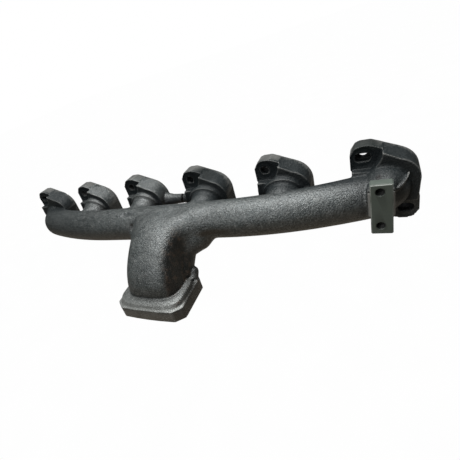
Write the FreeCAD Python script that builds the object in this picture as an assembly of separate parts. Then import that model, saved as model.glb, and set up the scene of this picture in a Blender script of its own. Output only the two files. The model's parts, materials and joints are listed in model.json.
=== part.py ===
"""Exhaust manifold of a six-cylinder in-line engine: one iron casting and the pieces fitted to it.

Frame: millimetres, +Z up, +X along the log towards port 6, +Y towards the cylinder head.
The origin lies on the mating plane of the six port flanges, on the line through the port
centres, midway between ports 3 and 4.
"""
import math
import os

import FreeCAD
import Part
from FreeCAD import Vector

os.makedirs("parts", exist_ok=True)

# ---------------------------------------------------------------- driving dimensions
# ports
port_count = 6
port_pitch = 135.0
port_bore_radius = 22.0

# port flanges
flange_half_width = 40.7
flange_half_height = 57.0
pad_thickness = 35.0
pad_edge_inset = 4.0
flange_corner_radius = 2.7
ear_thickness = 24.0
ear_ledge_height = 24.2
bolt_offset_x = 25.0
bolt_offset_z = 40.5
bolt_hole_radius = 6.25
end_slot_length = 19.5
spot_face_radius = 14.5
spot_face_depth = 1.0

# log pipe
log_radius = 31.0
log_bore_radius = 24.0
log_y = -77.0
log_z = -10.7
elbow_bend_radius = 34.0
end_neck_radius = {1: 29.0, -1: 24.5}
end_neck_length = {1: 38.0, -1: 30.0}
elbow_turns = {1: 70.0, -1: 73.8}
bow_bend_radius = 615.0
passage_radius = 18.0
passage_spread = 20.5
outlet_shift = 3.0
haunch_radius = {1: 25.7, -1: 23.0}
left_haunch_share = 0.72

# necks between the flanges and the log
neck_flare = 5.0
neck_radius = 27.0

# outlet towards the turbocharger
outlet_y = -173.5
outlet_face_z = -112.2
outlet_flange_thickness = 31.5
outlet_edge_height = 21.0
outlet_half_length = 65.7
outlet_half_width = 44.5
outlet_corner_cut = 15.0
outlet_rear_corner_cut = 5.0
outlet_front_round = 9.0
outlet_bolt_spacing_x = 100.0
outlet_bolt_spacing_y = 62.0
outlet_thread_radius = 5.0
outlet_thread_depth = 18.0
outlet_divider = 9.0
outlet_opening_x = 41.0
outlet_opening_y = 48.0
outlet_opening_corner = 13.0

# tie bar between flanges 3 and 4, sawn through
tie_bar_radius = 9.0
tie_bar_y = -12.0
tie_bar_z = 0.8
saw_cut_x = 10.0
saw_cut_width = 3.2

# bracket block on the elbow of port 6
block_x = 333.6
block_width = 25.0
block_front_y = -88.0
block_depth = 15.0
block_top_z = 30.8
block_bottom_z = -40.6
block_hole_radius = 5.1
block_hole_x = 332.3
block_hole_z = (20.3, -28.0)
block_hole_depth = 12.5
weld_leg = 3.0
pad_overhang = 3.6
pad_overhang_right = 2.4
pad_reach = 38.0
pad_height = 44.0
pad_centre_z = -4.5

# gaskets
gasket_thickness = 1.5
gasket_margin = 1.5
gasket_bore_radius = 23.5
gasket_stud_radius = 6.4
end_gasket_stud_radius = 6.0

port_xs = [(i - (port_count - 1) / 2.0) * port_pitch for i in range(port_count)]
outlet_top_z = outlet_face_z + outlet_flange_thickness
tiny = 0.01

X_AXIS = Vector(1, 0, 0)
Y_AXIS = Vector(0, 1, 0)
Z_AXIS = Vector(0, 0, 1)


# ---------------------------------------------------------------- helpers
def save(shape, node):
    """Writes one named sub-part."""
    shape.exportStep("parts/" + node + ".step")


def fused(shapes, merge_faces=True):
    """One solid from overlapping ones."""
    result = shapes[0]
    for shape in shapes[1:]:
        result = result.fuse(shape)
    return result.removeSplitter() if merge_faces else result


def turned_half(shape):
    """A copy turned by half a turn about the Y axis."""
    copy = shape.copy()
    copy.rotate(Vector(0, 0, 0), Y_AXIS, 180)
    return copy


def plate(wire, thickness, direction):
    """A flat plate from a closed wire."""
    return Part.Face(wire).extrude(direction * thickness)


def circle_wire(centre, normal, radius):
    """A closed circular wire."""
    return Part.Wire([Part.Circle(centre, normal, radius).toShape()])


def rod(start, end, radius):
    """A round bar between two points."""
    return Part.makeCylinder(radius, (end - start).Length, start, end - start)


def bend(start, heading, turn, bend_radius, radius):
    """A round bar bent in a horizontal plane; returns it with its end point and heading."""
    normal = Vector(-heading.y, heading.x, 0) * math.copysign(1.0, turn)
    centre = start + normal * bend_radius
    disc = Part.Face(circle_wire(start, heading, radius))
    body = disc.revolve(centre, Z_AXIS, turn)
    spin = FreeCAD.Rotation(Z_AXIS, turn)
    end = centre + spin.multVec(start - centre)
    return body, end, spin.multVec(heading)


def oval_section(centre, tilt, half_x, half_up, squareness, count=28):
    """A closed superellipse whose plane is tilted from facing -Y (0) to facing -Z (90)."""
    up = Vector(0, -math.sin(math.radians(tilt)), math.cos(math.radians(tilt)))
    points = []
    for i in range(count):
        angle = 2.0 * math.pi * (i + 0.5) / count
        c = math.cos(angle)
        s = math.sin(angle)
        x = half_x * math.copysign(abs(c) ** (2.0 / squareness), c)
        u = half_up * math.copysign(abs(s) ** (2.0 / squareness), s)
        points.append(centre + X_AXIS * x + up * u)
    curve = Part.BSplineCurve()
    curve.interpolate(Points=points, PeriodicFlag=True)
    return Part.Wire([curve.toShape()])


def rounded_rectangle(centre_x, centre_y, z, length_x, width_y, radius):
    """A closed wire in a horizontal plane."""
    box = Part.makeBox(length_x, width_y, 1.0,
                       Vector(centre_x - length_x / 2, centre_y - width_y / 2, z))
    uprights = [e for e in box.Edges if abs(e.Vertexes[0].Z - e.Vertexes[1].Z) > 0.5]
    box = box.makeFillet(radius, uprights)
    for face in box.Faces:
        if abs(face.CenterOfMass.z - z) < tiny and abs(face.normalAt(0, 0).z) > 0.9:
            return face.OuterWire
    raise ValueError("no lower face")


# ---------------------------------------------------------------- port flange
def flange_outline(margin=0.0, y=0.0, drafted=False):
    """The outline of a port flange in an XZ plane, the same after half a turn."""
    top_share = 0.1 if drafted else 1.0
    side_margin = 0.0 if drafted else margin
    w = flange_half_width - margin
    h = flange_half_height - margin
    top = flange_half_height - margin * top_share
    half = [
        Vector(-flange_half_width + side_margin, 0, -9.0),
        Vector(-w, 0, h - 12.0),
        Vector(-w + 6.5, 0, top - 2.0),
        Vector(-w + 12.5, 0, top),
        Vector(-15.0 - margin * 0.3, 0, top),
        Vector(20.0 - margin * 0.3, 0, 41.5 - margin),
    ]
    arc_mid = Vector(34.8 - side_margin * 0.75, 0, 28.8 - margin * (0.45 if drafted else 0.75))
    arc_end = Vector(flange_half_width - side_margin, 0, 9.0)
    edges = []
    for sign in (1, -1):
        points = [p * sign for p in half]
        for a, b in zip(points, points[1:]):
            edges.append(Part.makeLine(a, b))
        edges.append(Part.Arc(points[-1], arc_mid * sign, arc_end * sign).toShape())
    wire = Part.Wire(edges)
    wire.translate(Vector(0, y, 0))
    return wire


def bolt_hole(x, z, radius, slot_length, depth):
    """A round hole, or a slot along X, cut through from the mating plane."""
    start = Vector(x, 1.0, z)
    hole = Part.makeCylinder(radius, depth + 2.0, start, Vector(0, -1, 0))
    if slot_length:
        reach = slot_length / 2.0 - radius
        ends = []
        for side in (-1, 1):
            ends.append(Part.makeCylinder(radius, depth + 2.0, start + X_AXIS * reach * side,
                                          Vector(0, -1, 0)))
        bar = Part.makeBox(2 * reach, depth + 2.0, 2 * radius,
                           Vector(x - reach, -depth - 1.0, z - radius))
        hole = fused([bar] + ends)
    return hole


def ear_room():
    """The space above the upper left ear, where the flange stays thin."""
    corners = [(-60, 0), (-17, 0), (-12, 3), (-5, 12), (-2, 20), (1, 50), (-60, 50), (-60, 0)]
    outline = Part.makePolygon([Vector(x, -60, ear_ledge_height + z) for x, z in corners])
    return plate(outline, 60 - ear_thickness, Y_AXIS)


def port_flange(slotted):
    """One port flange about its own port centre: two thin ears and a thick tapered middle."""
    plain = plate(flange_outline(), ear_thickness, Vector(0, -1, 0))
    corners = []
    for edge in plain.Edges:
        ends = [v.Point for v in edge.Vertexes]
        if len(ends) == 2 and abs(ends[0].y - ends[1].y) > ear_thickness - tiny:
            if abs(abs(ends[0].x) - 20.0) > 1.0 and abs(abs(ends[0].z) - 9.0) > 1.0:
                corners.append(edge)
    plain = plain.makeFillet(flange_corner_radius, corners)
    zone = ear_room()
    zone.translate(Vector(0, ear_thickness + 2.0, -0.5))
    ears = [plain.common(zone), plain.common(turned_half(zone))]
    pad = Part.makeLoft([flange_outline(), flange_outline(pad_edge_inset, -pad_thickness, True)],
                        True, True)
    for cutter in (ear_room(), turned_half(ear_room())):
        pad = pad.cut(cutter)
    body = fused([pad] + ears, merge_faces=False)
    slot_length = end_slot_length if slotted else 0.0
    for sign in (-1, 1):
        x = bolt_offset_x * sign
        z = -bolt_offset_z * sign
        body = body.cut(bolt_hole(x, z, bolt_hole_radius, slot_length, pad_thickness))
        seat = Part.makeCylinder(spot_face_radius, 20.0,
                                 Vector(x, -ear_thickness + spot_face_depth, z),
                                 Vector(0, -1, 0))
        body = body.cut(seat)
    return body


# ---------------------------------------------------------------- log, elbows and necks
def log_half(side, radius, inner_x):
    """Half of the log: straight, then gently bowed, then an elbow round to the end port."""
    port = Vector(port_xs[-1] * side, 0, log_z)
    elbow_turn = elbow_turns[side]
    elbow_rad = math.radians(elbow_turn)
    bow_rad = math.radians(90.0 - elbow_turn)
    drop = bow_bend_radius * (1.0 - math.cos(bow_rad))
    elbow_y = log_y + drop + elbow_bend_radius * math.sin(elbow_rad)
    start = Vector(port.x, elbow_y, log_z)
    pieces = [rod(port, start, radius)]
    elbow, end, heading = bend(start, Vector(0, -1, 0), -elbow_turn * side,
                               elbow_bend_radius, radius)
    pieces.append(elbow)
    bow, end, heading = bend(end, heading, -(90.0 - elbow_turn) * side,
                             bow_bend_radius, radius)
    pieces.append(bow)
    pieces.append(rod(end, Vector(inner_x * side, log_y, log_z), radius))
    return fused(pieces)


def neck(x):
    """The short neck that drops from a flange into the log, flared where it leaves the flange."""
    top = -pad_thickness
    r0 = neck_radius
    flare = neck_flare
    end = log_y - 4.0
    edges = [
        Part.makeLine(Vector(0, top + 8.0, 0), Vector(r0 + flare, top + 8.0, 0)),
        Part.makeLine(Vector(r0 + flare, top + 8.0, 0), Vector(r0 + flare, top, 0)),
        Part.Arc(Vector(r0 + flare, top, 0), Vector(r0 + flare * 0.293, top - flare * 0.293, 0),
                 Vector(r0, top - flare, 0)).toShape(),
        Part.makeLine(Vector(r0, top - flare, 0), Vector(r0, end, 0)),
        Part.makeLine(Vector(r0, end, 0), Vector(0, end, 0)),
        Part.makeLine(Vector(0, end, 0), Vector(0, top + 8.0, 0)),
    ]
    body = Part.Face(Part.Wire(edges)).revolve(Vector(0, 0, 0), Y_AXIS, 360)
    drop = math.degrees(math.atan2(-log_z, top - log_y))
    body.rotate(Vector(0, top, 0), X_AXIS, drop)
    body.translate(Vector(x, 0, 0))
    return body


def end_neck(x):
    """The short round neck between an end flange and the elbow of the log."""
    side = 1 if x > 0 else -1
    radius = end_neck_radius[side]
    tip = Vector(x, -end_neck_length[side], 0)
    return fused([rod(Vector(x, -8.0, 0), tip, radius), Part.makeSphere(radius + 0.4, tip)],
                 merge_faces=False)


# ---------------------------------------------------------------- outlet
def outlet_body():
    """The wide elbow that carries the gas forwards and down from the log."""
    sections = [
        oval_section(Vector(0, -68.0, log_z), 0, 66.0, 26.0, 2.1),
        oval_section(Vector(2, -104.0, log_z - 3.0), 20, 58.0, 31.5, 2.3),
        oval_section(Vector(3, -130.0, log_z - 18.0), 46, 46.5, 38.0, 2.8),
        oval_section(Vector(3, -149.0, log_z - 40.0), 68, 46.0, 44.0, 3.1),
        oval_section(Vector(0, -160.0, outlet_top_z - 4.0), 90, 50.0, 40.0, 3.2),
    ]
    return Part.makeLoft(sections, True, False)


def chain(stations, radii):
    """Round bars from station to station with a ball at every inner station."""
    parts = []
    for a, b, radius in zip(stations, stations[1:], radii):
        parts.append(rod(a, b, radius))
    for station, before, after in zip(stations[1:], radii, radii[1:]):
        parts.append(Part.makeSphere(max(before, after) + 0.4, station))
    parts.append(Part.makeSphere(radii[0] + 0.4, stations[0]))
    return fused(parts, merge_faces=False)


def outlet_haunch(side):
    """The haunch that carries one half of the log down into the back of the outlet."""
    stations = [
        Vector(85.0, log_y - 5.0, log_z - 2.0),
        Vector(66.0, log_y - 18.0, log_z - 19.0),
        Vector(36.0, log_y - 29.0, log_z - 32.0),
        Vector(29.0, log_y - 60.0, outlet_top_z),
    ]
    if side < 0:
        stations = [Vector(left_haunch_share * p.x * side, p.y, p.z) for p in stations]
        stations[1].z = log_z - 12.0
    radius = haunch_radius[side]
    return chain(stations, [radius + 0.3, radius, radius - 0.2])


def outlet_web(side):
    """The wall that closes the hollow between the front lobe and the haunch."""
    return rod(Vector(side * 30.0, log_y - 22.0, log_z - 10.0),
               Vector(side * 25.0, log_y - 52.0, outlet_top_z + 4.0), 19.0)


def outlet_lug(side):
    """The rounded lug that thickens the flange over a rear bolt."""
    foot = Vector(side * 55.0, outlet_y + 36.0, outlet_top_z - 10.0)
    top = foot + Vector(0, 9.0, 10.0)
    return fused([rod(foot, top, 9.0), Part.makeSphere(9.0, top)], merge_faces=False)


def outlet_sweep(side):
    """The front of the log where it turns forwards into the outlet."""
    stations = [
        Vector(side * 105.0, log_y - 1.0, log_z),
        Vector(side * 66.0, log_y - 10.0, log_z + 2.0),
        Vector(side * 34.0, log_y - 30.0, log_z),
        Vector(side * 16.0, log_y - 56.0, log_z - 14.0),
    ]
    return chain(stations, [29.5, 27.5, 27.5])


def outlet_outline(margin=0.0):
    """The outline of the outlet flange in its own face plane."""
    a = outlet_half_length - margin
    b = outlet_half_width - margin
    c = outlet_corner_cut - margin * 0.6
    d = outlet_rear_corner_cut - margin * 0.6
    rear = [Vector(-a, b - d, 0), Vector(-a + d, b, 0), Vector(a - d, b, 0), Vector(a, b - d, 0)]
    right = Vector(a, -b + c, 0)
    left = Vector(-a, -b + c, 0)
    front_right = Vector(a - c, -b + 2.0, 0)
    front_left = Vector(-a + c, -b + 2.0, 0)
    edges = []
    for p, q in zip([left] + rear, rear + [right]):
        edges.append(Part.makeLine(p, q))
    edges.append(Part.makeLine(right, front_right))
    edges.append(Part.Arc(front_right, Vector(0, -b, 0), front_left).toShape())
    edges.append(Part.makeLine(front_left, left))
    wire = Part.Wire(edges)
    wire.translate(Vector(0, outlet_y, outlet_face_z))
    return wire


def outlet_bolt_centres():
    """The four bolt positions of the outlet flange."""
    centres = []
    for sx in (-1, 1):
        for sy in (-1, 1):
            centres.append((sx * outlet_bolt_spacing_x / 2,
                            outlet_y + sy * outlet_bolt_spacing_y / 2))
    return centres


def outlet_flange():
    """The thick outlet flange with a raised band round the foot of the outlet body."""
    base = plate(outlet_outline(), outlet_edge_height, Z_AXIS)
    for front, radius in ((True, outlet_front_round), (False, outlet_rear_corner_cut * 0.5)):
        uprights = [e for e in base.Edges
                    if abs(e.Vertexes[0].Z - e.Vertexes[-1].Z) > 5.0
                    and (e.Vertexes[0].Y < outlet_y) == front
                    and e.Curve.TypeId == "Part::GeomLine"
                    and abs(abs(e.Vertexes[0].Y - outlet_y) - outlet_half_width) < 22.0]
        base = base.makeFillet(radius, uprights)
    levels = [
        oval_section(Vector(0, outlet_y, outlet_face_z + outlet_edge_height - 3.0), 90,
                     outlet_half_length - 1.0, outlet_half_width - 1.0, 3.9),
        oval_section(Vector(0, outlet_y + 1.0, outlet_top_z - 3.0), 90, 61.0, 40.0, 3.6),
        oval_section(Vector(0, outlet_y + 2.0, outlet_top_z), 90, 56.0, 35.5, 3.3),
    ]
    parts = [base]
    for low, high in zip(levels, levels[1:]):
        parts.append(Part.makeLoft([low, high], True, True))
    return fused(parts, merge_faces=False)


def opening_solid(side, margin, z_low, z_high):
    """One of the two gas openings of the outlet flange, as a solid to cut."""
    cx = side * (outlet_divider / 2 + outlet_opening_x / 2)
    wire = rounded_rectangle(cx, outlet_y, z_low, outlet_opening_x + 2 * margin,
                             outlet_opening_y + 2 * margin, outlet_opening_corner + margin)
    return plate(wire, z_high - z_low, Z_AXIS)


def gas_passage(side):
    """The inner duct of three cylinders: log bore, turn into the outlet and flange opening."""
    parts = [log_half(side, log_bore_radius, 42.0)]
    stations = [
        Vector(side * 42.0, log_y, log_z),
        Vector(outlet_shift + side * passage_spread, log_y - 46.0, log_z - 7.0),
        Vector(outlet_shift + side * passage_spread, log_y - 76.0, log_z - 33.0),
        Vector(side * (passage_spread + 3.0), outlet_y + 3.0, outlet_face_z + 22.0),
    ]
    swell = (log_bore_radius + 0.5, passage_radius + 0.5, passage_radius + 0.5)
    for a, b in zip(stations, stations[1:]):
        parts.append(rod(a, b, passage_radius))
    for station, radius in zip(stations, swell):
        parts.append(Part.makeSphere(radius, station))
    parts.append(opening_solid(side, 0.0, outlet_face_z - 1.0, outlet_face_z + 24.0))
    for x in port_xs:
        if x * side > 0:
            end_port = abs(x) > port_xs[-1] - 1.0
            if end_port:
                parts.append(rod(Vector(x, 1.0, 0), Vector(x, -12.0, 0), port_bore_radius))
            else:
                kink = Vector(x, -28.0, 0)
                parts.append(rod(Vector(x, 1.0, 0), kink, port_bore_radius))
                parts.append(Part.makeSphere(port_bore_radius + 0.4, kink))
                parts.append(rod(kink, Vector(x, log_y, log_z), port_bore_radius - 0.6))
    return fused(parts)


# ---------------------------------------------------------------- tie bar and bracket pad
def tie_bar():
    """The cast bar between flanges 3 and 4, with its saw cut."""
    half_gap = port_pitch / 2 - flange_half_width
    bar = Part.makeCylinder(tie_bar_radius, 2 * half_gap + 6.0,
                            Vector(-half_gap - 3.0, tie_bar_y, tie_bar_z), X_AXIS)
    cut = Part.makeBox(saw_cut_width, 40.0, 40.0,
                       Vector(saw_cut_x - saw_cut_width / 2, tie_bar_y - 20, tie_bar_z - 20))
    return bar.cut(cut)


def bracket_pad():
    """The cast pad on the elbow of port 6 that the bracket block sits on."""
    face_y = block_front_y + block_depth
    pad = Part.makeBox(block_width + pad_overhang + pad_overhang_right, pad_reach, pad_height,
                       Vector(block_x - block_width / 2 - pad_overhang, face_y,
                              pad_centre_z - pad_height / 2))
    long_edges = [e for e in pad.Edges if abs(e.Vertexes[0].Y - e.Vertexes[1].Y) > 5.0]
    return pad.makeFillet(4.0, long_edges)


def manifold_casting():
    """The whole casting: flanges, necks, log, elbows, outlet and tie bar, with its passages."""
    solids = [log_half(1, log_radius, 0.0), log_half(-1, log_radius, 0.0)]
    solids.append(outlet_body())
    solids.append(outlet_flange())
    for side in (-1, 1):
        solids.append(outlet_haunch(side))
        solids.append(outlet_web(side))
        solids.append(outlet_lug(side))
    solids.append(outlet_sweep(1))
    for x in port_xs:
        slotted = abs(x) > port_xs[-1] - 1.0
        flange = port_flange(slotted)
        flange.translate(Vector(x, 0, 0))
        solids.append(flange)
        solids.append(end_neck(x) if slotted else neck(x))
    solids.append(tie_bar())
    solids.append(bracket_pad())
    body = fused(solids, merge_faces=False)
    for side in (-1, 1):
        body = body.cut(gas_passage(side))
    for x, y in outlet_bolt_centres():
        body = body.cut(Part.makeCylinder(outlet_thread_radius, outlet_thread_depth + 1.0,
                                          Vector(x, y, outlet_face_z - 1.0), Z_AXIS))
    room = Part.makeBox(3 * port_xs[-1], 100.0, 400.0, Vector(-1.5 * port_xs[-1], 0, -200.0))
    reach = block_width / 2 + weld_leg + 0.2
    block_room = Part.makeBox(2 * reach, 60.0, 120.0,
                              Vector(block_x - reach, block_front_y + block_depth - 60.0, -60.0))
    return body.cut(room).cut(block_room)


# ---------------------------------------------------------------- separate pieces
def bracket_block():
    """The machined steel block with its two blind tapped holes."""
    body = Part.makeBox(block_width, block_depth, block_top_z - block_bottom_z,
                        Vector(block_x - block_width / 2, block_front_y, block_bottom_z))
    front = [e for e in body.Edges if abs(e.CenterOfMass.y - block_front_y) < tiny]
    body = body.makeChamfer(0.6, front)
    for z in block_hole_z:
        body = body.cut(Part.makeCylinder(block_hole_radius, block_hole_depth + 1.0,
                                          Vector(block_hole_x, block_front_y - 1.0, z), Y_AXIS))
    return body


def bracket_weld():
    """The two fillet welds down the sides of the bracket block."""
    face_y = block_front_y + block_depth
    low = pad_centre_z - pad_height / 2 + 5.0
    beads = []
    for side, leg in ((-1, weld_leg), (1, weld_leg * 0.7)):
        x = block_x + side * block_width / 2
        outline = Part.makePolygon([
            Vector(x, face_y, low), Vector(x + side * leg, face_y, low),
            Vector(x + side * leg * 0.75, face_y - leg * 0.6, low),
            Vector(x, face_y - leg, low), Vector(x, face_y, low),
        ])
        beads.append(plate(outline, pad_height - 10.0, Z_AXIS))
    return Part.makeCompound(beads)


def port_gasket(x):
    """A flat gasket on the mating face of one port flange."""
    body = plate(flange_outline(gasket_margin), gasket_thickness, Y_AXIS)
    body = body.cut(Part.makeCylinder(gasket_bore_radius, 10.0, Vector(0, -5, 0), Y_AXIS))
    at_end = abs(x) > port_xs[-1] - 1.0
    stud_radius = end_gasket_stud_radius if at_end else gasket_stud_radius
    for sign in (-1, 1):
        hole = bolt_hole(bolt_offset_x * sign, -bolt_offset_z * sign, stud_radius, 0.0, 8.0)
        hole.translate(Vector(0, 4.0, 0))
        body = body.cut(hole)
    body.translate(Vector(x, 0, 0))
    return body


def outlet_gasket():
    """The gasket under the outlet flange."""
    body = plate(outlet_outline(gasket_margin), gasket_thickness, Vector(0, 0, -1))
    for side in (-1, 1):
        body = body.cut(opening_solid(side, 1.5, outlet_face_z - 5.0, outlet_face_z + 5.0))
    for x, y in outlet_bolt_centres():
        body = body.cut(Part.makeCylinder(outlet_thread_radius + 0.5, 10.0,
                                          Vector(x, y, outlet_face_z - 5.0), Z_AXIS))
    return body


casting = manifold_casting()
save(casting, "manifold_casting")
save(bracket_block(), "bracket_block")
save(bracket_weld(), "bracket_weld")
for number, port_x in enumerate(port_xs, start=1):
    save(port_gasket(port_x), "port_gasket_%d" % number)
save(outlet_gasket(), "outlet_gasket")
print("casting valid", casting.isValid(), "solids", len(casting.Solids),
      "volume cm3", round(casting.Volume / 1000.0, 1))
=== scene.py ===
import json
import math

import bmesh
import bpy
import numpy as np
from mathutils import Matrix, Vector


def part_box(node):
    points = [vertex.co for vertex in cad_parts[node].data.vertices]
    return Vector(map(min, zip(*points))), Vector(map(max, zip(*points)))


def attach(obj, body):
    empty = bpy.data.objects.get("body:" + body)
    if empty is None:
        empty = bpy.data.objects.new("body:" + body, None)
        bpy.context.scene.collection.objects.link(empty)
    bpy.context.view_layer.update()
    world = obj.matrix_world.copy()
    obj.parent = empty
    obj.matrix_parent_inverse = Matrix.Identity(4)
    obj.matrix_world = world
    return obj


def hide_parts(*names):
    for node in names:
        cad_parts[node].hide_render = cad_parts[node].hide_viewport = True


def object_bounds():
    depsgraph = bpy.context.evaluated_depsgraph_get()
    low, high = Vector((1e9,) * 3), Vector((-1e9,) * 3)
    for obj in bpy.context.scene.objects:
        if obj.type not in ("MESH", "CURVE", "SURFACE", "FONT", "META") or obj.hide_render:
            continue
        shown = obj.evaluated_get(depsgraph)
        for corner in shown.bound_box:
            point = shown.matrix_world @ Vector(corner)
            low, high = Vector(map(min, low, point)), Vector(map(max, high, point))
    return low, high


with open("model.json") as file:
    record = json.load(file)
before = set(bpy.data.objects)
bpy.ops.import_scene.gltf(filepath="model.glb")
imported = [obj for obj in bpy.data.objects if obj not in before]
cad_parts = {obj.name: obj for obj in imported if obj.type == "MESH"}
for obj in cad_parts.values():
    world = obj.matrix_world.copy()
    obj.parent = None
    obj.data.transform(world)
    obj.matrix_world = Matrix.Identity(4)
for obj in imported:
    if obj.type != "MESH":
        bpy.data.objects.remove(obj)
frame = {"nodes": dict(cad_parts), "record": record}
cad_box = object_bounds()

NODES = frame["nodes"]
RECORD = frame["record"]

# ------------------------------------------------------------------ places read from the frame
CAST = "manifold_casting"
HEAD_Y = 0.0                                   # the machined mating plane of the port flanges
OUTLET_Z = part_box(CAST)[0].z                   # the machined face of the outlet flange
mounts = {m["name"]: m for m in RECORD["mounts"]}
outlet = Vector(mounts["outlet_bolts"]["pos_m"])
bracket = Vector(mounts["bracket_bolts"]["pos_m"])
block_low, block_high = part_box("bracket_block")
port_centres = []
for number in range(1, 7):
    low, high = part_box("port_gasket_%d" % number)
    port_centres.append((low + high) / 2)
LOG = Vector((0.0, -0.077, -0.0107))           # axis of the straight part of the log
EAR_FRONT_Y = -0.024                           # front face of the flange ears
SPOT_Y = EAR_FRONT_Y + 0.001                   # floor of the spot faces
BOLT = Vector((0.025, 0.0, 0.0405))            # bolt hole from the port centre, half-turn pair
HOLE_R = 0.00625                               # radius of the flange bolt holes
PLUG_SPARE = 0.0004                            # how far a filled hole's plug exceeds its radius
SLOT_REACH = 0.0035                            # half the distance between a slot's two arcs
OUTLET_BOLTS = Vector((0.050, 0.031, 0.0))     # outlet bolt from the middle of the four
OUTLET_THREAD = (0.005, 0.0175, 0.0015, 0.0006, 0.0008)  # see thread_profile
# start, middle and end of the raised seam on the neck of port 6
SEAM = (Vector((0.3640, -0.040, 0.0200)), Vector((0.3570, -0.057, 0.0135)),
        Vector((0.3470, -0.0650, 0.0085)))
SEAM_R = 0.0016
# (radius, distance) profiles of the tie bar's knuckles to the left and right of the saw cut
KNUCKLES = {-1: ((0.0078, 0.0), (0.0090, 0.002), (0.0092, 0.012), (0.0100, 0.022),
                 (0.0135, 0.036)),
            1: ((0.0078, 0.0), (0.0090, 0.002), (0.0095, 0.010), (0.0115, 0.018))}
SAW = Vector((0.010, -0.012, 0.0008))          # saw cut through the tie bar
MACHINING_SPARE = 0.006                        # metal left on the milled faces, then cut off
ON_PLANE = 2e-5                                # a vertex this near a milled plane lies on it
SAW_HALF = 0.0016                              # half the width of the saw cut
FACE_LIMIT = 195000                            # triangles kept on the casting
VOXEL = 0.0015            # resolution of the blended casting
PIPE_SMOOTHING = 110          # smoothing steps where log and outlet meet
EDGE_SMOOTHING = 4             # rounds of smoothing on all cast edges
BLOCK_THREAD = (0.0051, 0.0125, 0.0017, 0.0006, 0.0007)  # see thread_profile
BLOCK_EDGE = 0.0011                            # broken edges of the block
BLOCK_HOLE_STEP = Vector((0.0, 0.0, 0.02415))  # each hole from the middle of the pair
BEAD_R = 0.0260                                # gasket bead from the port centre
BEAD_WIDTH = 0.0011                            # half the width of the bead
BEAD_HEIGHT = 0.0007                           # from the bead's middle to its crest
BEAD_SINK = 0.0002                             # the bead's middle below the sheet's top

# start, end, width and depth of the dint on the log and of the crease at its junction
DENTS = (
    ((-0.078, -0.091, 0.017), (-0.060, -0.092, 0.017), 0.0045, 0.0016),
    ((-0.056, -0.106, 0.001), (-0.0585, -0.106, -0.022), 0.0042, 0.0034),
)


# ------------------------------------------------------------------ small helpers
def new_object(name, data):
    """An object in the scene for a mesh, a light or a camera."""
    obj = bpy.data.objects.new(name, data)
    bpy.context.scene.collection.objects.link(obj)
    return obj


def bake(obj):
    """Applies the modifiers of an object to its mesh."""
    graph = bpy.context.evaluated_depsgraph_get()
    mesh = bpy.data.meshes.new_from_object(obj.evaluated_get(graph))
    obj.modifiers.clear()
    old = obj.data
    obj.data = mesh
    bpy.data.meshes.remove(old)
    return obj


def welded_copy(node, name):
    """A copy of a CAD node's mesh with its split edges joined."""
    mesh = NODES[node].data.copy()
    bm = bmesh.new()
    bm.from_mesh(mesh)
    bmesh.ops.remove_doubles(bm, verts=bm.verts, dist=2e-6)
    bm.to_mesh(mesh)
    bm.free()
    mesh.materials.clear()
    return new_object(name, mesh)


def add_cylinder(bm, start, end, radius, count=48):
    """A closed cylinder between two points."""
    axis = end - start
    turn = axis.to_track_quat("Z", "Y").to_matrix().to_4x4()
    place = Matrix.Translation((start + end) / 2) @ turn
    bmesh.ops.create_cone(bm, cap_ends=True, segments=count, radius1=radius, radius2=radius,
                          depth=axis.length, matrix=place)


def add_seam(bm, start, middle, end, radius, steps=9):
    """A round bead along a curve through three points."""
    lift = middle * 2 - (start + end) / 2
    points = []
    for i in range(steps + 1):
        t = i / steps
        points.append(start * (1 - t) ** 2 + lift * 2 * t * (1 - t) + end * t ** 2)
    for a, b in zip(points, points[1:]):
        reach = (b - a).normalized() * radius * 0.4
        add_cylinder(bm, a - reach, b + reach, radius, 16)


def add_box(bm, low, high):
    """A closed box between two corners."""
    size = high - low
    place = Matrix.Translation((low + high) / 2) @ Matrix.Diagonal((*size, 1.0))
    bmesh.ops.create_cube(bm, size=1.0, matrix=place)


def add_slot(bm, centre, y0, y1, radius, reach, count=48):
    """A closed stadium prism along Y, lengthened along X."""
    rings = []
    for y in (y0, y1):
        ring = []
        for i in range(count):
            angle = 2 * math.pi * (i + 0.5) / count
            x = math.cos(angle) * radius + math.copysign(reach, math.cos(angle))
            ring.append(bm.verts.new((centre.x + x, y, centre.z + math.sin(angle) * radius)))
        rings.append(ring)
    for i in range(count):
        j = (i + 1) % count
        bm.faces.new((rings[0][i], rings[0][j], rings[1][j], rings[1][i]))
    bm.faces.new(list(reversed(rings[0])))
    bm.faces.new(rings[1])


def add_lathe(bm, start, direction, profile, count=40):
    """A closed turned solid from pairs of radius and distance along the direction."""
    turn = direction.to_track_quat("Z", "Y").to_matrix().to_4x4()
    place = Matrix.Translation(start) @ turn
    rings = []
    for radius, along in profile:
        ring = []
        for i in range(count):
            angle = 2 * math.pi * i / count
            spot = Vector((math.cos(angle) * radius, math.sin(angle) * radius, along))
            ring.append(bm.verts.new(place @ spot))
        rings.append(ring)
    for low_ring, high_ring in zip(rings, rings[1:]):
        for i in range(count):
            j = (i + 1) % count
            bm.faces.new((low_ring[i], low_ring[j], high_ring[j], high_ring[i]))
    bm.faces.new(list(reversed(rings[0])))
    bm.faces.new(rings[-1])


def thread_profile(radius, depth, pitch, groove, countersink):
    """The profile of a tapped hole: a countersink, then thread grooves to the bottom."""
    profile = [(radius + countersink, -0.002), (radius + countersink, 0.0)]
    along = countersink
    while along < depth - pitch:
        profile.append((radius, along))
        profile.append((radius + groove, along + pitch / 2))
        along += pitch
    profile.append((radius, along))
    profile.append((radius, depth))
    return profile


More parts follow.
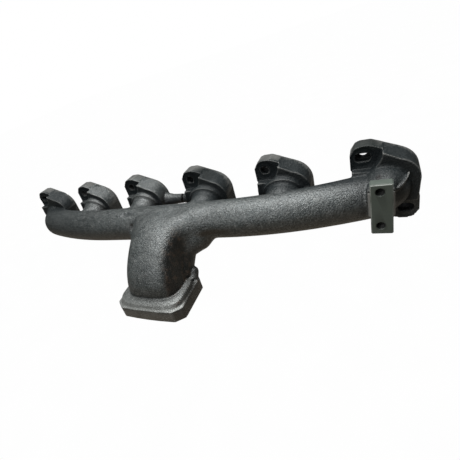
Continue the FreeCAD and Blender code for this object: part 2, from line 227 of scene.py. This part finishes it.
def mesh_from(bm, name):
    """A mesh with outward normals; the bmesh is used up."""
    bmesh.ops.recalc_face_normals(bm, faces=bm.faces)
    mesh = bpy.data.meshes.new(name)
    bm.to_mesh(mesh)
    bm.free()
    return mesh


def carve(obj, cutter_mesh):
    """Cuts a closed mesh out of an object."""
    cutter = new_object("cutter", cutter_mesh)
    cut = obj.modifiers.new("cut", "BOOLEAN")
    cut.operation = "DIFFERENCE"
    cut.object = cutter
    cut.solver = "MANIFOLD"
    bake(obj)
    bpy.data.objects.remove(cutter)
    return obj


def ramp(value, low, high):
    """A smooth step from 0 to 1 on an array."""
    t = np.clip((value - low) / (high - low), 0.0, 1.0)
    return t * t * (3 - 2 * t)


class Skin:
    """The points of a mesh with fast weighted smoothing."""

    def __init__(self, obj):
        self.mesh = obj.data
        count = len(self.mesh.vertices)
        flat = np.empty(count * 3)
        self.mesh.vertices.foreach_get("co", flat)
        self.points = flat.reshape(-1, 3)
        ends = np.empty(len(self.mesh.edges) * 2, dtype=np.int64)
        self.mesh.edges.foreach_get("vertices", ends)
        self.ends = ends.reshape(-1, 2)
        self.share = np.bincount(ends, minlength=count).astype(float)

    def relax(self, weight, factor, steps):
        """Moves every point towards the middle of its neighbours, or away if factor is negative."""
        count = len(self.points)
        a, b = self.ends[:, 0], self.ends[:, 1]
        strength = np.ones(count) * weight * factor
        for step in range(steps):
            for axis in range(3):
                c = self.points[:, axis]
                total = np.bincount(a, c[b], count) + np.bincount(b, c[a], count)
                self.points[:, axis] = c + strength * (total / self.share - c)

    def store(self):
        self.mesh.vertices.foreach_set("co", self.points.reshape(-1))
        self.mesh.update()


def dent(points, start, end, width, depth):
    """Presses a soft groove into the log along a line; width and depth in metres."""
    start, end = np.array(start), np.array(end)
    line = end - start
    share = np.clip((points - start) @ line / (line @ line), 0.0, 1.0)
    away = np.linalg.norm(points - (start + share[:, None] * line), axis=1)
    pull = depth * np.exp(-(away / width) ** 2)
    inward = np.array(LOG)[1:] - points[:, 1:]
    inward /= np.linalg.norm(inward, axis=1)[:, None] + 1e-9
    points[:, 1:] += inward * pull[:, None]


def bolt_places():
    """Every bolt hole of the port flanges: centre and whether it is a slot."""
    places = []
    for number, centre in enumerate(port_centres):
        slotted = number in (0, len(port_centres) - 1)
        for sign in (-1, 1):
            places.append((Vector((centre.x + BOLT.x * sign, 0, -BOLT.z * sign)), slotted))
    return places


# ------------------------------------------------------------------ the casting
def rough_casting():
    """The CAD casting with its holes filled, spare metal on the milled faces and added details."""
    obj = welded_copy(CAST, "casting_skin")
    bm = bmesh.new()
    bm.from_mesh(obj.data)
    for v in bm.verts:
        if abs(v.co.y - HEAD_Y) < ON_PLANE:
            v.co.y += MACHINING_SPARE
        if abs(v.co.z - OUTLET_Z) < ON_PLANE:
            v.co.z -= MACHINING_SPARE
    # holes are filled before the surface is blended, and drilled again afterwards
    for centre, slotted in bolt_places():
        reach = SLOT_REACH if slotted else 0.0
        add_slot(bm, centre, SPOT_Y, MACHINING_SPARE, HOLE_R + PLUG_SPARE, reach, 32)
    # the tie bar swells into a rounded knuckle on each side of the saw cut
    for side, profile in KNUCKLES.items():
        add_lathe(bm, SAW, Vector((side, 0, 0)), profile, 32)
    # the raised seam down the side of the neck of port 6
    add_seam(bm, *SEAM, SEAM_R)
    bm.to_mesh(obj.data)
    bm.free()
    return obj


def blend_surfaces(obj):
    """Turns the casting into one dense skin and rounds it like sand-cast iron."""
    remesh = obj.modifiers.new("remesh", "REMESH")
    remesh.mode = "VOXEL"
    remesh.voxel_size = VOXEL
    bake(obj)

    # where the log runs into the outlet the blends are large; elsewhere they are small
    skin = Skin(obj)
    p = skin.points
    near = 1.0 - ramp(np.abs(p[:, 0]), 0.050, 0.125)
    fore = ramp(-p[:, 1], 0.050, 0.075) * (1.0 - ramp(-p[:, 1], 0.140, 0.165))
    above = ramp(p[:, 2], -0.060, -0.032)
    inner = np.maximum(ramp(p[:, 0], -0.045, -0.012), ramp(p[:, 2], 0.006, 0.018))
    skin.relax(near * fore * above * inner, 0.5, PIPE_SMOOTHING)
    # the flanges keep crisper edges than the pipes
    soft = 1.0 - 0.55 * np.maximum(ramp(p[:, 1], -0.052, -0.044),
                                   1.0 - ramp(p[:, 2], OUTLET_Z + 0.030, OUTLET_Z + 0.040))
    for step in range(EDGE_SMOOTHING):
        skin.relax(soft, 0.50, 1)
        skin.relax(soft, -0.52, 1)
    skin.relax(soft, 0.4, 1)
    # a shallow dint on top of the log and the crease where it meets the side of the outlet
    for start, end, width, depth in DENTS:
        dent(skin.points, start, end, width, depth)
    skin.store()


def machine(obj):
    """Mills the faces, drills the holes and saws the tie bar."""
    bm = bmesh.new()
    add_box(bm, Vector((-0.6, HEAD_Y, -0.3)), Vector((0.6, 0.1, 0.3)))
    add_box(bm, Vector((-0.3, -0.4, OUTLET_Z - 0.1)), Vector((0.3, -0.05, OUTLET_Z)))
    carve(obj, mesh_from(bm, "planes"))
    bm = bmesh.new()
    for centre, slotted in bolt_places():
        add_slot(bm, centre, -0.05, 0.02, HOLE_R, SLOT_REACH if slotted else 0.0)
    for sx in (-1, 1):
        for sy in (-1, 1):
            start = outlet + Vector((sx * OUTLET_BOLTS.x, sy * OUTLET_BOLTS.y, 0.0))
            add_lathe(bm, start, Vector((0, 0, 1)), thread_profile(*OUTLET_THREAD))
    add_box(bm, Vector((SAW.x - SAW_HALF, SAW.y - 0.02, SAW.z - 0.02)),
            Vector((SAW.x + SAW_HALF, SAW.y + 0.012, SAW.z + 0.02)))
    carve(obj, mesh_from(bm, "holes"))


def build_casting():
    """The casting with blended sand-cast surfaces and crisp machined faces and holes."""
    obj = rough_casting()
    blend_surfaces(obj)
    machine(obj)
    thin = obj.modifiers.new("thin", "DECIMATE")
    triangles = sum(len(f.vertices) - 2 for f in obj.data.polygons)
    thin.ratio = min(1.0, FACE_LIMIT / triangles)
    bake(obj)
    obj.data.shade_smooth()
    return obj


# ------------------------------------------------------------------ the separate pieces
def build_block():
    """The steel block with broken edges and two blind tapped holes."""
    bm = bmesh.new()
    add_box(bm, block_low, block_high)
    bmesh.ops.bevel(bm, geom=bm.edges[:], offset=BLOCK_EDGE, segments=3, affect="EDGES")
    obj = new_object("block_skin", mesh_from(bm, "block_skin"))
    bm = bmesh.new()
    for sign in (-1, 1):
        hole = bracket + BLOCK_HOLE_STEP * sign
        add_lathe(bm, hole, Vector((0, 1, 0)), thread_profile(*BLOCK_THREAD))
    carve(obj, mesh_from(bm, "tapped_holes"))
    return obj


def build_gasket(node, name, rings):
    """A gasket sheet with raised sealing beads round its openings."""
    obj = welded_copy(node, name)
    bm = bmesh.new()
    for outline, side, height in rings:
        steps = len(outline)
        across = 10
        loops = []
        for k in range(steps):
            spot = outline[k]
            along = (outline[(k + 1) % steps] - outline[k - 1]).normalized()
            out = along.cross(side)
            loop = []
            for i in range(across):
                angle = 2 * math.pi * i / across
                loop.append(bm.verts.new(spot + out * math.cos(angle) * BEAD_WIDTH
                                         + side * math.sin(angle) * height))
            loops.append(loop)
        for k in range(steps):
            for i in range(across):
                j = (i + 1) % across
                nxt = loops[(k + 1) % steps]
                bm.faces.new((loops[k][i], loops[k][j], nxt[j], nxt[i]))
    join = new_object("beads", mesh_from(bm, "beads"))
    union = obj.modifiers.new("join", "BOOLEAN")
    union.operation = "UNION"
    union.object = join
    union.solver = "MANIFOLD"
    bake(obj)
    bpy.data.objects.remove(join)
    return obj


def circle_outline(centre, radius, count=72):
    """Points round a circle facing the cylinder head."""
    points = []
    for i in range(count):
        angle = 2 * math.pi * i / count
        points.append(centre + Vector((math.cos(angle) * radius, 0, math.sin(angle) * radius)))
    return points


# ------------------------------------------------------------------ materials
class Nodes:
    """A thin wrapper for building node trees in few lines."""

    def __init__(self, name):
        self.material = bpy.data.materials.new(name)
        self.material.use_nodes = True
        self.tree = self.material.node_tree
        self.tree.nodes.clear()

    def add(self, kind, inputs=None, **settings):
        node = self.tree.nodes.new(kind)
        for key, value in settings.items():
            setattr(node, key, value)
        for key, value in (inputs or {}).items():
            socket = node.inputs[key]
            if isinstance(value, bpy.types.NodeSocket):
                self.tree.links.new(value, socket)
            else:
                socket.default_value = value
        return node

    def noise(self, vector, scale, detail=4.0, rough=0.5):
        return self.add("ShaderNodeTexNoise", {"Vector": vector, "Scale": scale, "Detail": detail,
                                               "Roughness": rough}).outputs["Fac"]

    def math(self, operation, a, b=0.0, clamp=False):
        return self.add("ShaderNodeMath", {0: a, 1: b}, operation=operation,
                        use_clamp=clamp).outputs[0]

    def span(self, value, low, high, out_low=0.0, out_high=1.0):
        return self.add("ShaderNodeMapRange", {"Value": value, "From Min": low, "From Max": high,
                                               "To Min": out_low, "To Max": out_high}).outputs[0]

    def blob(self, vector, centre, size):
        """1 inside an ellipsoid about a place, fading to 0 outside it."""
        scale = tuple(1.0 / v for v in size)
        shift = tuple(-c / v for c, v in zip(centre, size))
        local = self.add("ShaderNodeMapping", {"Vector": vector, "Scale": scale,
                                               "Location": shift}).outputs[0]
        length = self.add("ShaderNodeVectorMath", {0: local}, operation="LENGTH")
        return self.span(length.outputs["Value"], 1.25, 0.6)

    def mix(self, factor, a, b):
        node = self.add("ShaderNodeMix", data_type="RGBA")
        for socket, value in ((node.inputs[0], factor), (node.inputs[6], a), (node.inputs[7], b)):
            if isinstance(value, bpy.types.NodeSocket):
                self.tree.links.new(value, socket)
            elif isinstance(value, tuple):
                socket.default_value = (*value, 1.0)
            else:
                socket.default_value = value
        return node.outputs[2]

    def bump(self, height, strength, distance):
        inputs = {"Height": height, "Strength": strength, "Distance": distance}
        return self.add("ShaderNodeBump", inputs).outputs["Normal"]

    def surface(self, colour, roughness, metallic, normal, specular=0.5):
        inputs = {"Base Color": colour, "Roughness": roughness, "Metallic": metallic,
                  "Specular IOR Level": specular, "Normal": normal}
        shader = self.add("ShaderNodeBsdfPrincipled", inputs)
        out = self.add("ShaderNodeOutputMaterial")
        self.tree.links.new(shader.outputs[0], out.inputs[0])
        return self.material


# centre, half sizes, colour and strength of the stains and painted shade patches on the casting
STAINS_AND_PAINTED_SHADE = (
    # painted shade in the dint on the log and in the dark spot above the block
    ((-0.069, -0.092, 0.018), (0.016, 0.008, 0.0045), (0.012, 0.015, 0.016), 0.75),
    ((0.331, -0.053, 0.0235), (0.004, 0.004, 0.004), (0.002, 0.002, 0.002), 0.95),
    # painted brown shade under the log, and brown rust on the lobe
    ((0.100, -0.109, -0.016), (0.034, 0.010, 0.006), (0.024, 0.018, 0.011), 0.70),
    ((0.046, -0.186, -0.063), (0.008, 0.010, 0.018), (0.050, 0.022, 0.013), 0.45),
    # painted shade under the right of the log and along the left of the log
    ((0.300, -0.100, -0.022), (0.030, 0.020, 0.010), (0.014, 0.012, 0.010), 0.55),
    ((-0.330, -0.080, 0.000), (0.210, 0.060, 0.060), (0.012, 0.014, 0.014), 0.40),
    # painted shade inside the saw cut
    (tuple(SAW), (0.0034, 0.022, 0.022), (0.001, 0.001, 0.001), 0.97),
    # darker patches on the tops of flanges 6 and 4, and painted shade beside the block
    ((0.315, -0.012, 0.056), (0.026, 0.016, 0.008), (0.009, 0.012, 0.011), 0.80),
    ((0.353, -0.061, -0.004), (0.009, 0.012, 0.024), (0.004, 0.005, 0.004), 0.80),
    ((0.074, -0.018, 0.047), (0.026, 0.018, 0.014), (0.007, 0.009, 0.009), 0.85),
    # painted shade on the right side of the outlet flange
    ((0.065, -0.165, -0.100), (0.008, 0.034, 0.020), (0.012, 0.011, 0.009), 0.75),
)


def cast_iron():
    """Oily sand-cast iron: dark grey grain, brown underneath, painted shade in hollows, on the
    flanges and down the outlet flank, a painted highlight on the outlet foot step, edge wear with a
    painted highlight.
    """
    n = Nodes("cast_iron_skin")
    where = n.add("ShaderNodeTexCoord").outputs["Object"]
    geometry = n.add("ShaderNodeNewGeometry")
    split = n.add("ShaderNodeSeparateXYZ", {0: geometry.outputs["Normal"]})
    down = n.span(split.outputs["Z"], 0.25, -0.55)
    patches = n.noise(where, 18.0, 3.0)
    mottle = n.noise(where, 110.0, 4.0, 0.6)
    speck = n.noise(where, 430.0, 2.0, 0.5)
    grain = n.noise(where, 900.0, 2.0, 0.6)
    base = n.mix(n.span(patches, 0.35, 0.65), (0.026, 0.031, 0.031), (0.042, 0.050, 0.050))
    base = n.mix(n.span(mottle, 0.38, 0.68), base, (0.060, 0.066, 0.064))
    brown = n.mix(n.span(mottle, 0.3, 0.7), (0.024, 0.019, 0.013), (0.056, 0.044, 0.031))
    base = n.mix(n.math("MULTIPLY", down, 0.85), base, brown)
    base = n.mix(n.span(speck, 0.54, 0.68, 0.0, 0.80), base, (0.008, 0.008, 0.008))
    base = n.mix(n.span(grain, 0.56, 0.72, 0.0, 0.50), base, (0.008, 0.008, 0.008))
    base = n.mix(n.span(speck, 0.44, 0.30, 0.0, 0.50), base, (0.15, 0.155, 0.15))
    # painted shade: ambient occlusion darkens the colour to near black in hollows, creases and
    # recesses
    occlusion_shade = n.add("ShaderNodeAmbientOcclusion", {"Distance": 0.06}, samples=8)
    place = n.add("ShaderNodeSeparateXYZ", {0: where})
    # painted highlight: the up-facing step of the outlet foot is kept out of the painted shade and
    # painted light grey
    foot = n.math("MULTIPLY", n.span(place.outputs["Z"], -0.078, -0.086),
                  n.span(split.outputs["Z"], 0.15, 0.5))
    dark = n.math("MAXIMUM", n.span(occlusion_shade.outputs["AO"], 0.36, 0.97),
                  n.math("MULTIPLY", foot, 0.9))
    # the painted shade is mixed into the colour here
    base = n.mix(dark, (0.003, 0.003, 0.003), base)
    # the painted highlight on the outlet foot step
    base = n.mix(n.math("MULTIPLY", foot, 0.62), base, (0.18, 0.185, 0.175))
    # the side of the outlet foot is browner than its step
    rim = n.math("MULTIPLY", n.span(place.outputs["Z"], -0.088, -0.094),
                 n.span(split.outputs["Z"], 0.5, 0.2))
    base = n.mix(n.math("MULTIPLY", rim, 0.35), base, (0.018, 0.015, 0.012))
    # painted shade and oil darken the flanges and necks, least on flanges 2 and 3
    less_darkened_flanges = n.math("MULTIPLY", n.span(place.outputs["X"], 0.030, -0.010),
                   n.span(place.outputs["X"], -0.300, -0.260))
    oil_and_shade = n.span(place.outputs["Y"], -0.074, -0.050)
    oil_and_shade = n.math("MULTIPLY", oil_and_shade, n.span(less_darkened_flanges, 0.0, 1.0, 0.78, 0.10))
    # painted shade and oil are strongest on the front faces of the ears, the upper ones more than
    # the lower ones
    facing = n.math("MULTIPLY", n.span(split.outputs["Y"], -0.5, -0.85),
                    n.span(place.outputs["Y"], -0.040, -0.034))
    facing = n.math("MULTIPLY", facing, n.span(place.outputs["Z"], 0.0, 0.015, 0.45, 0.94))
    oil_and_shade = n.math("MAXIMUM", oil_and_shade, facing)
    lower = n.math("MULTIPLY", n.span(place.outputs["Z"], -0.016, -0.024),
                   n.span(place.outputs["Y"], -0.036, -0.030))
    oil_and_shade = n.math("MULTIPLY", oil_and_shade, n.span(lower, 0.0, 1.0, 1.0, 0.45))
    # painted shade and oil: the masked places are darkened to near black
    base = n.mix(oil_and_shade, base, (0.006, 0.008, 0.009))
    # edge wear and a painted highlight: sharp edges clear of the occlusion are painted light grey
    edge_wear_and_highlight = n.math("MULTIPLY", n.span(geometry.outputs["Pointiness"], 0.520, 0.575, 0.0, 0.65),
                  n.span(occlusion_shade.outputs["AO"], 0.62, 0.90))
    base = n.mix(edge_wear_and_highlight, base, (0.19, 0.19, 0.18))
    # the stains and the painted shade patches are mixed into the colour
    for centre, size, colour, amount in STAINS_AND_PAINTED_SHADE:
        spot = n.blob(where, centre, size)
        base = n.mix(n.math("MULTIPLY", spot, amount), base, colour)
    # painted shade with brown rust patches down the right flank of the outlet, which faces away
    # from the light
    flank = n.math("MULTIPLY", n.span(split.outputs["X"], 0.30, 0.80),
                   n.span(place.outputs["X"], 0.030, 0.042))
    flank = n.math("MULTIPLY", flank, n.span(place.outputs["X"], 0.075, 0.056))
    flank = n.math("MULTIPLY", flank, n.span(place.outputs["Y"], -0.105, -0.125))
    flank_shade_and_rust = n.mix(n.span(mottle, 0.48, 0.70), (0.005, 0.005, 0.004), (0.040, 0.024, 0.014))
    base = n.mix(n.math("MULTIPLY", flank, 0.85), base, flank_shade_and_rust)
    # the milled faces towards the cylinder head and under the outlet are bare metal
    to_head = n.math("MULTIPLY", n.math("GREATER_THAN", place.outputs["Y"], -0.0004),
                     n.math("GREATER_THAN", split.outputs["Y"], 0.9))
    to_outlet = n.math("MULTIPLY", n.math("LESS_THAN", place.outputs["Z"], OUTLET_Z + 0.0004),
                       n.math("LESS_THAN", split.outputs["Z"], -0.9))
    milled = n.math("ADD", to_head, to_outlet, clamp=True)
    base = n.mix(milled, base, (0.26, 0.26, 0.255))
    rough = n.span(mottle, 0.3, 0.7, 0.34, 0.52)
    height = n.math("ADD", n.math("MULTIPLY", speck, 1.0), n.math("MULTIPLY", mottle, 0.7))
    height = n.math("ADD", height, n.math("MULTIPLY", grain, 0.5))
    height = n.math("MULTIPLY", height, n.span(milled, 0.0, 1.0, 1.0, 0.1))
    normal = n.bump(height, 0.9, 0.0010)
    clear_of_oil_and_shade = n.span(oil_and_shade, 0.0, 0.9, 1.0, 0.12)
    metal = n.math("MULTIPLY", n.span(dark, 0.0, 1.0, 0.0, 0.35), clear_of_oil_and_shade)
    metal = n.math("MAXIMUM", metal, n.math("MULTIPLY", milled, 0.8))
    return n.surface(base, rough, metal, normal, n.math("MULTIPLY", clear_of_oil_and_shade, 0.6))


def near_edge(n, where, low, high):
    """1 along the front edges of a box, from the distances to its faces."""
    place = n.add("ShaderNodeSeparateXYZ", {0: where})
    front = n.span(place.outputs["Y"], low.y + 0.0022, low.y + 0.0008)
    top = n.span(place.outputs["Z"], high.z - 0.0020, high.z - 0.0008)
    left = n.span(place.outputs["X"], low.x + 0.0018, low.x + 0.0008)
    right = n.span(place.outputs["X"], high.x - 0.0016, high.x - 0.0008, 0.0, 0.5)
    side = n.math("MAXIMUM", n.math("MAXIMUM", left, right), top)
    return n.math("MULTIPLY", front, side)


def bare_metal(name, tint, roughness, metallic, scratch=(900.0, 60.0, 60.0), edges=None):
    """Bare metal with fine tool marks, light staining, painted shade in hollows and edge wear with
    a painted highlight, and a painted highlight with wear on the front edges if a box is given.
    """
    n = Nodes(name)
    where = n.add("ShaderNodeTexCoord").outputs["Object"]
    stretched = n.add("ShaderNodeMapping", {"Vector": where, "Scale": scratch}).outputs[0]
    lines = n.noise(stretched, 1.0, 3.0, 0.6)
    stain = n.noise(where, 60.0, 4.0, 0.55)
    geometry = n.add("ShaderNodeNewGeometry")
    stained = tuple(v * 0.72 for v in tint)
    base = n.mix(n.span(stain, 0.3, 0.7), stained, tint)
    base = n.mix(n.span(lines, 0.55, 0.75, 0.0, 0.35), base, tuple(v * 0.5 for v in tint))
    # edge wear and a painted highlight: sharp edges are painted lighter
    edge_wear_and_highlight = n.span(geometry.outputs["Pointiness"], 0.52, 0.58, 0.0, 0.6)
    base = n.mix(edge_wear_and_highlight, base, tuple(min(1.0, v * 3.0) for v in tint))
    # painted highlight and wear: the front edges of the box are painted light
    if edges is not None:
        bright = n.math("MULTIPLY", near_edge(n, where, *edges),
                        n.span(stain, 0.38, 0.55, 0.35, 1.0))
        base = n.mix(bright, base, (0.25, 0.265, 0.245))
    # painted shade: ambient occlusion darkens hollows and recesses to near black
    occlusion_shade = n.add("ShaderNodeAmbientOcclusion", {"Distance": 0.02}, samples=8)
    base = n.mix(n.span(occlusion_shade.outputs["AO"], 0.1, 0.8), (0.012, 0.012, 0.012), base)
    normal = n.bump(lines, 0.25, 0.0002)
    return n.surface(base, n.span(stain, 0.3, 0.7, roughness - 0.06, roughness + 0.08),
                     metallic, normal)


def backdrop():
    """A white studio floor: bright to the camera, a soft grey bounce to the object."""
    n = Nodes("studio_floor")
    where = n.add("ShaderNodeTexCoord").outputs["Object"]
    grain = n.noise(where, 8.0, 2.0)
    rays = n.add("ShaderNodeLightPath")
    bright = n.add("ShaderNodeEmission", {"Color": n.mix(grain, (0.985, 0.985, 0.985),
                                                         (1.0, 1.0, 1.0)), "Strength": 1.0})
    matt = n.add("ShaderNodeBsdfDiffuse", {"Color": (0.22, 0.20, 0.17, 1.0)})
    choose = n.add("ShaderNodeMixShader", {0: rays.outputs["Is Camera Ray"]})
    below = n.add("ShaderNodeNewGeometry").outputs["Backfacing"]
    clear = n.add("ShaderNodeBsdfTransparent")
    through = n.add("ShaderNodeMixShader", {0: below})
    out = n.add("ShaderNodeOutputMaterial")
    n.tree.links.new(matt.outputs[0], choose.inputs[1])
    n.tree.links.new(bright.outputs[0], choose.inputs[2])
    n.tree.links.new(choose.outputs[0], through.inputs[1])
    n.tree.links.new(clear.outputs[0], through.inputs[2])
    n.tree.links.new(through.outputs[0], out.inputs[0])
    return n.material


# ------------------------------------------------------------------ build
def place_piece(obj, node, look):
    """Puts a finished piece on the body in place of its CAD node."""
    obj.data.materials.clear()
    obj.data.materials.append(look)
    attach(obj, "root")
    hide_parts(node)


place_piece(build_casting(), CAST, cast_iron())
block_look = bare_metal("block_steel", (0.026, 0.032, 0.027), 0.5, 0.25,
                        edges=(block_low, block_high))
weld_look = bare_metal("weld_bead", (0.10, 0.10, 0.095), 0.5, 0.5)
gasket_look = bare_metal("gasket_sheet", (0.36, 0.37, 0.38), 0.4, 0.85, (40.0, 40.0, 40.0))


place_piece(build_block(), "bracket_block", block_look)
for number, centre in enumerate(port_centres, start=1):
    node = "port_gasket_%d" % number
    top_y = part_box(node)[1].y
    bead = circle_outline(Vector((centre.x, top_y - BEAD_SINK, 0.0)), BEAD_R)
    piece = build_gasket(node, "port_gasket_skin_%d" % number,
                         [(bead, Vector((0, 1, 0)), BEAD_HEIGHT)])
    place_piece(piece, node, gasket_look)
for name, look in (("outlet_gasket", gasket_look), ("bracket_weld", weld_look)):
    NODES[name].data.materials.clear()
    NODES[name].data.materials.append(look)

# ------------------------------------------------------------------ stage
FLOOR_DROP = 0.30                              # the floor below the object
FLOOR_HALF = 12.0


def studio_world():
    """White to the camera, and a faint cool light on the object."""
    world = bpy.data.worlds.new("studio")
    bpy.context.scene.world = world
    world.use_nodes = True
    tree = world.node_tree
    tree.nodes.clear()
    rays = tree.nodes.new("ShaderNodeLightPath")
    seen = tree.nodes.new("ShaderNodeBackground")
    seen.inputs["Color"].default_value = (1.0, 1.0, 1.0, 1.0)
    seen.inputs["Strength"].default_value = 1.0
    lit = tree.nodes.new("ShaderNodeBackground")
    lit.inputs["Color"].default_value = (0.93, 0.97, 1.0, 1.0)
    lit.inputs["Strength"].default_value = 0.10
    choose = tree.nodes.new("ShaderNodeMixShader")
    out = tree.nodes.new("ShaderNodeOutputWorld")
    tree.links.new(rays.outputs["Is Camera Ray"], choose.inputs[0])
    tree.links.new(lit.outputs[0], choose.inputs[1])
    tree.links.new(seen.outputs[0], choose.inputs[2])
    tree.links.new(choose.outputs[0], out.inputs[0])


def area_light(name, place, target, size, power):
    """A rectangular light at a place, facing a target."""
    data = bpy.data.lights.new(name, "AREA")
    data.shape = "RECTANGLE"
    data.size, data.size_y = size
    data.energy = power
    light = new_object(name, data)
    light.location = place
    light.rotation_mode = "QUATERNION"
    light.rotation_quaternion = (Vector(target) - Vector(place)).to_track_quat("-Z", "Y")


bm = bmesh.new()
bmesh.ops.create_grid(bm, x_segments=2, y_segments=2, size=FLOOR_HALF)
floor = new_object("floor", mesh_from(bm, "floor"))
floor.location.z = cad_box[0].z - FLOOR_DROP
floor.data.materials.append(backdrop())
studio_world()
area_light("top", (0.12, 0.05, 1.4), (0.05, -0.08, 0.0), (1.2, 0.9), 54.0)
area_light("front", (-0.15, -1.25, 0.75), (0.02, -0.12, -0.04), (0.6, 0.6), 13.0)

# ------------------------------------------------------------------ camera
CAMERA_PLACE = Vector((0.33421, -0.49747, 0.24271))
CAMERA_RIGHT = Vector((0.8583671, 0.4082295, -0.3107323))
CAMERA_UP = Vector((0.0197798, 0.5788901, 0.8151657))
CAMERA_BACK = Vector((0.5126545, -0.7058576, 0.4888255))
LENS_MM = 25.71536
SENSOR_MM = 36.0
LENS_SHIFT = {"shift_x": 0.0939274, "shift_y": 0.0186368}
SHIFT_RANGE = 0.001                            # the shift holds this near the camera's own X


def set_camera():
    """The camera of the main view, with a lens shift that only holds in that view."""
    data = bpy.data.cameras.new("camera")
    camera = new_object("camera", data)
    bpy.context.scene.camera = camera
    turn = Matrix((CAMERA_RIGHT, CAMERA_UP, CAMERA_BACK)).transposed()
    camera.matrix_world = Matrix.Translation(CAMERA_PLACE) @ turn.to_4x4()
    data.sensor_width = SENSOR_MM
    data.lens = LENS_MM
    data.clip_start = 0.01
    data.clip_end = 50.0
    # the picture is a crop off the lens axis; the view from any other place is centred
    low, high = CAMERA_PLACE.x - SHIFT_RANGE, CAMERA_PLACE.x + SHIFT_RANGE
    for path, value in LENS_SHIFT.items():
        driver = data.driver_add(path).driver
        driver.type = "SCRIPTED"
        variable = driver.variables.new()
        variable.name = "x"
        variable.type = "TRANSFORMS"
        variable.targets[0].id = camera
        variable.targets[0].transform_type = "LOC_X"
        variable.targets[0].transform_space = "WORLD_SPACE"
        driver.expression = "%.7f if x > %.5f and x < %.5f else 0.0" % (value, low, high)


set_camera()
bpy.context.scene.view_settings.view_transform = "Standard"
bpy.context.scene.view_settings.look = "None"
